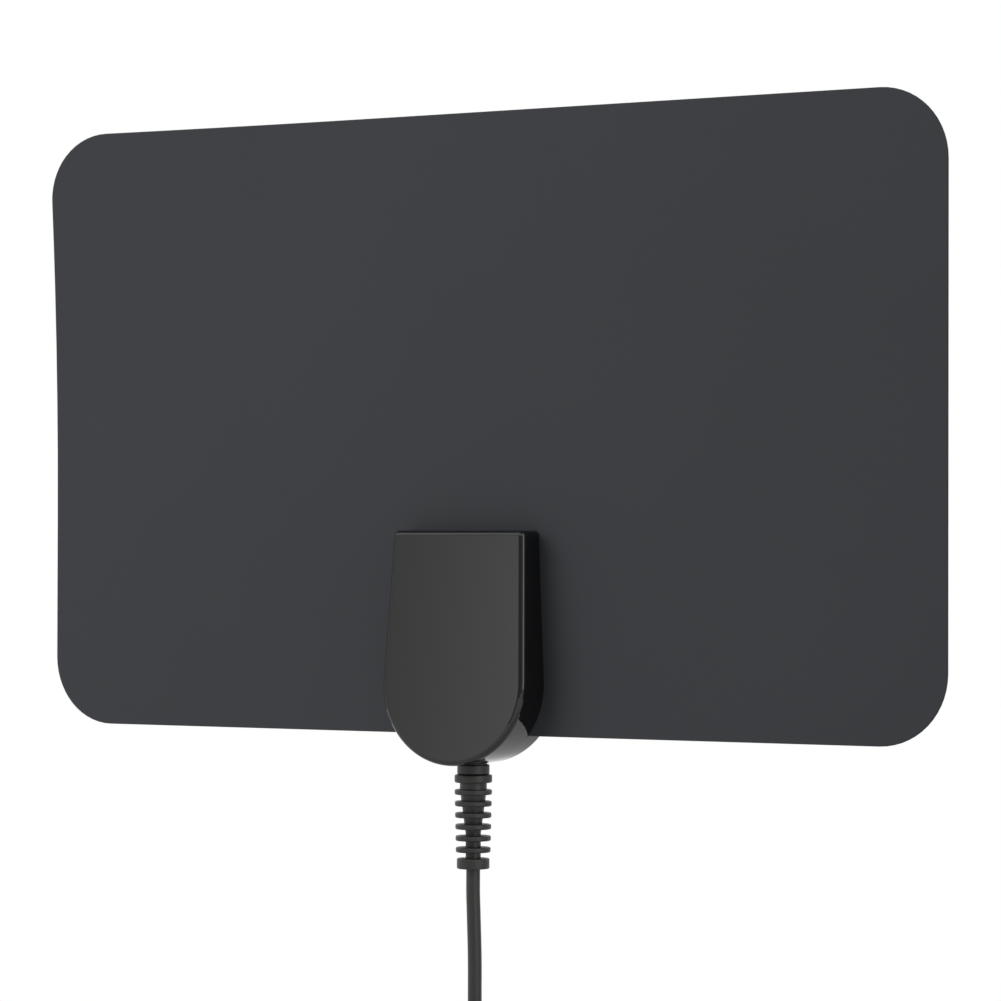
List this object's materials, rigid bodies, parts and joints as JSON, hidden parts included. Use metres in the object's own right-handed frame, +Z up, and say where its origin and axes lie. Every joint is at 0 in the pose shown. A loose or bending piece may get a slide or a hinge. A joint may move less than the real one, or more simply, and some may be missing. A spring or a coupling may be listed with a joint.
{
  "type": "flat indoor television antenna",
  "caption": "Thin flat indoor television antenna sheet clamped by a D-shaped glossy housing, with a ribbed strain relief and a coaxial lead ending in a push-on plug.",
  "frame": {"origin": "middle of the housing's flat rear face", "axes": "+Z up along the sheet's height, +X along the sheet's width to the viewer's right, the sheet's front faces -Y and the housing's rear face +Y"},
  "size_m": [0.33, 0.0256, 0.406],
  "materials": {
    "film": "matte",
    "gloss_case": "high gloss",
    "soft_black": "matte",
    "foil": "satin",
    "board": "satin",
    "ferrite": "sintered",
    "copper": "bare",
    "brass": "bare",
    "steel": "plated",
    "nickel": "nickel plated",
    "white_plastic": "natural",
    "chip": "ceramic"
  },
  "bodies": {
    "root": {"front_film": "film", "rear_film": "film", "foil_left": "foil", "foil_right": "foil", "front_cover": "gloss_case", "rear_cover": "gloss_case", "cover_screws": "steel", "matching_board": "board", "board_screws": "steel", "ferrite_core": "ferrite", "core_winding": "copper", "chip_capacitors": "chip", "contact_left": "brass", "contact_right": "brass", "cord_clamp": "steel", "clamp_screws": "steel", "lead_skin": "soft_black", "lead_braid": "steel", "lead_insulation": "white_plastic", "lead_wire": "copper", "strain_relief": "soft_black", "cord": "soft_black", "cord_coil": "soft_black", "cord_tie": "soft_black", "cord_tail": "soft_black", "plug_grip": "soft_black", "plug_sleeve": "nickel", "plug_insulator": "white_plastic", "plug_pin": "brass"}
  },
  "joints": []
}
